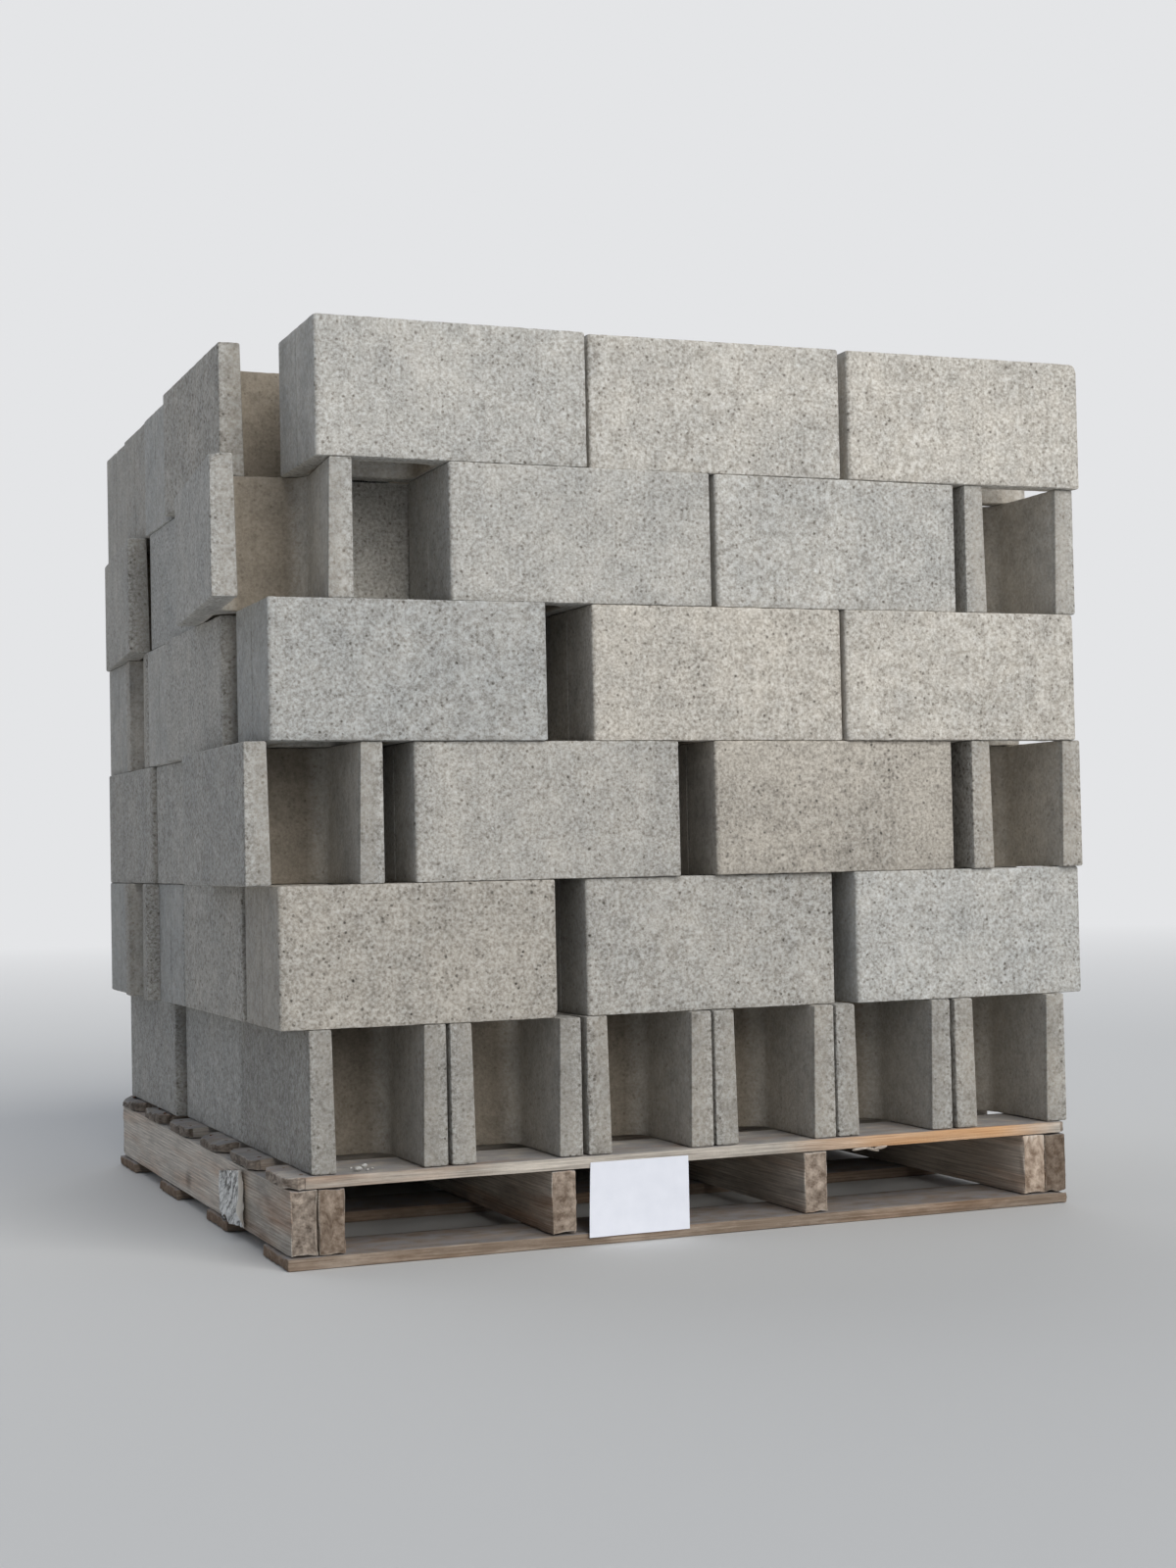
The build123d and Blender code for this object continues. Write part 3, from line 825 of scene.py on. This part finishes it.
# The larger chips and rubbed corners at the front: course, block from the left, place on it from
# -1 to 1 towards its open end, its left shell and its top, radius, and depth of the scoop.
WORN_PLACES = [
    (6, 2, (1, -1, 1), 26, 6), (6, 2, (1, -1, 0.1), 16, 2), (6, 2, (1, -1, -0.7), 14, 2),
    (6, 0, (-1, -1, 1), 16, 3), (6, 1, (1, -1, 1), 15, 3), (5, 0, (1, -1, 1), 30, 8),
    (5, 1, (-1, -1, 1), 14, 2), (4, 2, (1, -1, 1), 20, 4), (4, 0, (-1, -1, 1), 15, 3),
    (3, 1, (-1, -1, 1), 14, 2), (3, 2, (1, -1, -1), 14, 3), (2, 0, (1, -1, -1), 20, 5),
    (2, 0, (1, -1, 1), 15, 3), (2, 2, (1, -1, -1), 16, 3), (1, 0, (1, -1, 0.6), 12, 2),
    (1, 4, (1, 1, 0.5), 18, 3), (1, 5, (1, -1, 0.55), 20, 4), (1, 5, (1, -1, -0.35), 13, 3),
    (1, 1, (1, -1, -1), 14, 3), (1, 2, (1, 1, 1), 15, 3),
]
# Points along, across, up, over the top and round a corner of a block, and its random chips:
# in the front, elsewhere in view, and out of sight.
FINE = (19, 13, 19, 3, 4), 9
PLAIN = (11, 9, 11, 2, 3), 6
HIDDEN = (3, 3, 3, 2, 2), 0
CHIP_RADIUS, CHIP_BITE = (9, 20), (0.06, 0.16)           # and depth, as a share of the radius
RUB, RUB_CELL = 0.5, 9.0    # how far the edges are rubbed out of line, and over what distance
CAST_SHIFT = 900            # sets the patterns of two blocks apart
SHOWS = 45.0                # a block that comes this near to the outline of its course shows
FRONT_REACH = 20.0          # and one this near to the front of the pallet shows in the front
SECOND_ROW = 1.5            # block lengths from the front within which blocks show through gaps
# How much darker or lighter than the block's faces some parts are: the rubbed ends of the
# shells, the groove with its dust and painted shade, and in the cores the web with painted shade
# and the side walls with painted light.
TIP_TONE, GROOVE_DUST_AND_SHADE, WEB_SHADE, SIDE_LIGHT = -0.08, -0.6, -0.2, 0.3
TIP_SPECKLE, END_SPECKLE, CORE_SPECKLE = 0.15, -0.45, -0.5
SIDE_WARM_SHADE = 0.15           # how much of the web's painted warm shade the side walls of a core get


def scoop(points, place, half, radius, depth):
    """A chip at a place on the block's edge or corner, given from -1 to 1 on each axis. Points
    inside a ball are pushed out to its surface, and the ball stands off along the way out, so
    that only its last few millimetres bite."""
    way = np.where(np.abs(place) > 0.97, np.sign(place), 0)
    way = way / np.linalg.norm(way)
    middle = np.array(place) * half + (0, 0, half[2]) + way * (radius - depth)
    away = points - middle
    distance = np.linalg.norm(away, axis=1, keepdims=True)
    return np.where(distance < radius, middle + away / np.maximum(distance, 1e-6) * radius, points)


def edge_places(rng, count):
    """Random places on a block's edges: two axes at their limit and the third anywhere."""
    place = rng.choice([-1.0, 1.0], (count, 3))
    place[np.arange(count), rng.integers(0, 3, count)] = rng.uniform(-0.95, 0.95, count)
    return place


def reach_of(place):
    """Lowest and highest x and y of a block that stands turned."""
    c, s = abs(cos(place["turn"])), abs(sin(place["turn"]))
    half = np.array([[c, s], [s, c]]) @ place["size"][:2] / 2
    return place["middle"][:2] - half, place["middle"][:2] + half


def concrete_look(mould, shape, size, core, tone, warmth, dark_foot):
    """What the concrete reads at each point of a block: tone, warmth and strength of the
    speckle, and how brown a core wall is. The tone carries painted shade on the web and in the
    groove and painted light on the core's side walls, and the brown is painted warm shade. The
    mould is the shape before it is chipped."""
    at_tip = mould[:, 0] > size[0] / 2 - 2 * EDGE_RADIUS
    at_end = mould[:, 0] < -size[0] / 2 + 0.1
    in_groove = ((np.abs(shape[:, 1]) < SCORE_HALF_WIDTH / 2)
                 & (shape[:, 0] < 2 * SCORE_DEPTH - size[0] / 2))
    web_reach = size[1] / 2 - SHELL_TOP - WALL_GROWTH - CORE_RADIUS
    off_web = np.clip((np.abs(shape[:, 1]) - web_reach) / CORE_RADIUS, 0, 1)
    tone = tone * (1 - dark_foot * (1 - mould[:, 2] / size[2])) * (1 + TIP_TONE * at_tip)
    # painted shade darkens the web of a core, and painted light lightens its side walls
    tone = tone * (1 + core * ~at_tip * ((SIDE_LIGHT - WEB_SHADE) * off_web + WEB_SHADE))
    # dust and painted shade darken the groove
    tone = tone * (1 + GROOVE_DUST_AND_SHADE * in_groove)
    speckle = 1 + TIP_SPECKLE * at_tip + END_SPECKLE * at_end + CORE_SPECKLE * core
    return np.stack([tone, warmth + 0 * tone, speckle], -1), core * (1 - (1 - SIDE_WARM_SHADE) * off_web)


prototypes = {}
front_edge = box_mm("deck_board_1")[0][1]
for number in range(1, 7):
    node = f"course_{number}_blocks"
    course_low, course_high = (limit[:2] for limit in box_mm(node))
    rng = np.random.default_rng(100 + number)
    start, front_index, blocks = 0, 0, []
    for place in sorted(block_places(node), key=lambda p: p["middle"][0]):
        size = place["size"]
        near, far = reach_of(place)
        at_front = near[1] < front_edge + FRONT_REACH
        in_view = ((near < course_low + SHOWS).any() or (far > course_high - SHOWS).any()
                   or near[1] < front_edge + SECOND_ROW * size[0] or number == 6)
        steps, chips = FINE if at_front else PLAIN if in_view else HIDDEN
        if steps not in prototypes:
            prototypes[steps] = block_surface(*size, *steps)
        mould, faces, edge, core = prototypes[steps]
        shape = mould + RUB * edge[:, None] * np.stack(
            [soft_noise(mould + number * 50 + start, RUB_CELL, seed) for seed in (1, 2, 3)], -1)
        for spot in edge_places(rng, chips):
            radius = rng.uniform(*CHIP_RADIUS)
            shape = scoop(shape, spot, size / 2, radius, radius * rng.uniform(*CHIP_BITE))
        if at_front:
            # the tone of a front block carries painted light, lighter up the courses and to the right
            tone, warmth = FRONT_LOOKS_AND_LIGHT[number][front_index]
            dark_foot = DARK_FEET.get((number, front_index), 0.0)
            for course, index, spot, radius, depth in WORN_PLACES:
                if (course, index) == (number, front_index):
                    shape = scoop(shape, np.array(spot, float), size / 2, radius, depth)
            front_index += 1
        else:
            tone, warmth = rng.uniform(*OTHER_TONES), rng.uniform(*OTHER_WARMTHS)
            dark_foot = 0.0
        c, s = cos(place["turn"]), sin(place["turn"])
        placed = shape @ np.array([[c, s, 0], [-s, c, 0], [0, 0, 1]]) + place["middle"]
        cast = np.tile(rng.uniform(-CAST_SHIFT, CAST_SHIFT, 3), (len(shape), 1))
        # brown is the share of painted warm shade on a core wall
        look_and_painted_light, brown = concrete_look(mould, shape, size, core, tone, warmth, dark_foot)
        blocks.append({"points": placed, "triangles": faces + start, "cast": cast,
                       "look_and_painted_light": look_and_painted_light, "wear": edge, "inside": brown})
        start += len(shape)
    values = {key: np.concatenate([block[key] for block in blocks]) for key in blocks[0]}
    points, triangles = values.pop("points"), values.pop("triangles")
    course = make_piece(f"course_{number}_cast", points, triangles, open_concrete, values, sharp=32)
    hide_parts(node)

# Crumbs and splinters: bits of concrete knocked off the blocks lie on the deck in the front
# pocket at the left, and torn strips of bleached wood hang from the underside of the front
# board, towards its right end.
CRUMB_SHAPE = np.array([1, 0.8, 0.66])                   # length, width and height
CRUMB_SEAT = 0.3            # height of its middle above the deck, as a share of its length
CRUMB_FINISH = 1.0, 0.3, 0.5             # tone, warmth and strength of the speckle
SPLINTER_SECTION = 8.0, 5.0
SPLINTER_BITE = 0.4         # how far its upper end reaches into the board
SPLINTER_GRIME = -2.2       # bleached
LUMP_DEPTH, LUMP_SPAN = 0.22, 0.7    # of their dents, as shares of a body's half size
# each crumb's place from the left and the front of the deck, and its length
CRUMBS = [(106, 22, 11), (124, 52, 9), (114, 41, 5), (119, 20, 4), (103, 46, 3.5), (129, 31, 4)]
# each splinter's place from the left and the front, its length, and its slope in degrees
SPLINTERS = [(866, 4, 27, 7), (884, 6, 30, -13), (899, 3, 22, 9)]


def lump(middle, size, slope, seed):
    """A rounded body: an ellipsoid, size times (cos a, sin a cos b, sin a sin b), pushed in and
    out by noise, and tipped about y."""
    a = np.radians(np.linspace(0, 180, 10))[:, None]
    b = np.radians(np.arange(0, 360, 30))[None, :]
    ball = np.stack(np.broadcast_arrays(np.cos(a), np.sin(a) * np.cos(b), np.sin(a) * np.sin(b)),
                    -1)
    ball = ball * (1 + LUMP_DEPTH * soft_noise(ball, LUMP_SPAN, seed)[..., None])
    # the grid of the weld is in millimetres, and too coarse for a ball of radius 1
    faces = grid_faces(*ball.shape[:2], close_columns=True)
    kept, triangles = weld(100 * ball.reshape(-1, 3), faces)
    c, s = cos(radians(slope)), sin(radians(slope))
    body = ball.reshape(-1, 3)[kept] * np.array(size) / 2
    return body @ np.array([[c, 0, s], [0, 1, 0], [-s, 0, c]]) + middle, triangles[:, ::-1]


def gather(bodies):
    """Several bodies as one mesh."""
    starts = np.cumsum([0] + [len(points) for points, _ in bodies[:-1]])
    return (np.concatenate([points for points, _ in bodies]),
            np.concatenate([faces + start for (_, faces), start in zip(bodies, starts)]))


deck_low, deck_high = box_mm("deck_board_1")
bodies = [lump((deck_low[0] + x, deck_low[1] + y, deck_high[2] + CRUMB_SEAT * long),
               CRUMB_SHAPE * long, 0, 60 + i) for i, (x, y, long) in enumerate(CRUMBS)]
points, triangles = gather(bodies)
plain = np.ones(len(points))
values = {"cast": np.zeros((len(points), 3)), "wear": plain, "inside": 0 * plain,
          "look_and_painted_light": np.tile(CRUMB_FINISH, (len(points), 1))}
make_piece("concrete_crumbs", points, triangles, open_concrete, values)

bodies = [lump((deck_low[0] + x, deck_low[1] + y,
                deck_low[2] + SPLINTER_BITE - length / 2 * abs(sin(radians(slope)))),
               (length, *SPLINTER_SECTION), slope, 80 + i)
          for i, (x, y, length, slope) in enumerate(SPLINTERS)]
points, triangles = gather(bodies)
plain = np.ones(len(points))
values = {"grain": points - deck_low, "fresh": 0 * plain, "end_grain": 0 * plain,
          "grime_and_painted_light": SPLINTER_GRIME * plain}
make_piece("torn_splinters", points, triangles, weathered_pine, values)

# Floor and light: a plain pale floor that fades into an even pale surround, which the camera,
# reflections and glass see. Two large soft lights stand above the front right and the back.
FLOOR_HALF = 40.0           # metres from its middle to each side
FADE_FROM, FADE_TO = 3.0, 12.0       # metres from the load
SURROUND = "#E4E5E7"

pale_floor, tree, shader = new_material("pale_floor")
feed(shader, {"Base Color": linear("#D4D4D3"), "Roughness": 0.9})
place = add(tree, "TexCoord", {}, "Object")
distance = add(tree, "VectorMath", {0: place}, "Value", operation="LENGTH")
fade = add(tree, "MapRange", {"Value": distance, "From Min": FADE_FROM, "From Max": FADE_TO})
haze = add(tree, "Emission", {"Color": linear(SURROUND)})
mixed = add(tree, "MixShader", {0: fade, 1: shader.outputs[0], 2: haze})
feed(tree.nodes["Material Output"], {"Surface": mixed})
mesh = bpy.data.meshes.new("floor")
mesh.from_pydata([(-FLOOR_HALF, -FLOOR_HALF, 0), (FLOOR_HALF, -FLOOR_HALF, 0),
                  (FLOOR_HALF, FLOOR_HALF, 0), (-FLOOR_HALF, FLOOR_HALF, 0)], [], [(0, 1, 2, 3)])
mesh.materials.append(pale_floor)
floor = put_in_scene("floor", mesh)
floor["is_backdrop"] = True

world = bpy.data.worlds.new("surround")
bpy.context.scene.world = world
world.use_nodes = True
tree = world.node_tree
lit = tree.nodes["Background"]
feed(lit, {"Color": linear("#CFE0FA"), "Strength": 0.22})
seen = add(tree, "Background", {"Color": linear(SURROUND), "Strength": 1.0})
rays = add(tree, "LightPath", {}).node.outputs
shows = add(tree, "Math", {0: rays["Is Camera Ray"], 1: rays["Is Glossy Ray"]}, operation="ADD")
shows = add(tree, "Math", {0: shows, 1: rays["Is Transmission Ray"]}, operation="ADD", use_clamp=True)
mixed = add(tree, "MixShader", {0: shows, 1: lit.outputs[0], 2: seen})
feed(tree.nodes["World Output"], {"Surface": mixed})

for name, strength, spread, aim, colour in (
        ("key", 2.5, 52, (-0.19, 0.83, -0.52), "#FFFDF9"),
        ("fill", 1.0, 80, (0.05, -0.85, -0.5), "#FFFFFF")):
    lamp = bpy.data.lights.new(name, "SUN")
    lamp.energy = strength
    lamp.angle = radians(spread)
    lamp.color = linear(colour)[:3]
    holder = put_in_scene(name, lamp)
    holder.rotation_euler = Vector(aim).to_track_quat("-Z", "Y").to_euler()

# Camera: it stands where the photograph was taken from, in front of the load and to its left, at
# about the height of the third course, and is turned a little to bring the load to the middle.
PHOTO_HEIGHT = 1600         # pixels
EYE_LEFT, EYE_FRONT = 753.8, 2980.9      # from the front left corner of the deck
EYE_HEIGHT = 547.2          # above the floor
YAW, PITCH, ROLL = 21.9, 1.75, -1.2      # degrees: right of straight back, up, and over
FOCAL_PIXELS = 2330.0       # focal length, in pixels of the photograph
SENSOR = 36.0

deck_low = box_mm("deck_board_1")[0]
lens = bpy.data.cameras.new("camera")
lens.sensor_fit = "AUTO"
lens.sensor_width = SENSOR
lens.lens = FOCAL_PIXELS * SENSOR / PHOTO_HEIGHT
camera = put_in_scene("camera", lens)
turn = (Matrix.Rotation(radians(-YAW), 3, "Z") @ Matrix.Rotation(radians(90 + PITCH), 3, "X")
        @ Matrix.Rotation(radians(ROLL), 3, "Z"))
camera.matrix_world = Matrix.Translation(Vector((
    deck_low[0] - EYE_LEFT, deck_low[1] - EYE_FRONT, EYE_HEIGHT)) * MM) @ turn.to_4x4()
bpy.context.scene.camera = camera
bpy.context.scene.view_settings.view_transform = "Standard"

bpy.context.view_layer.update()
low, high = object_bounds()
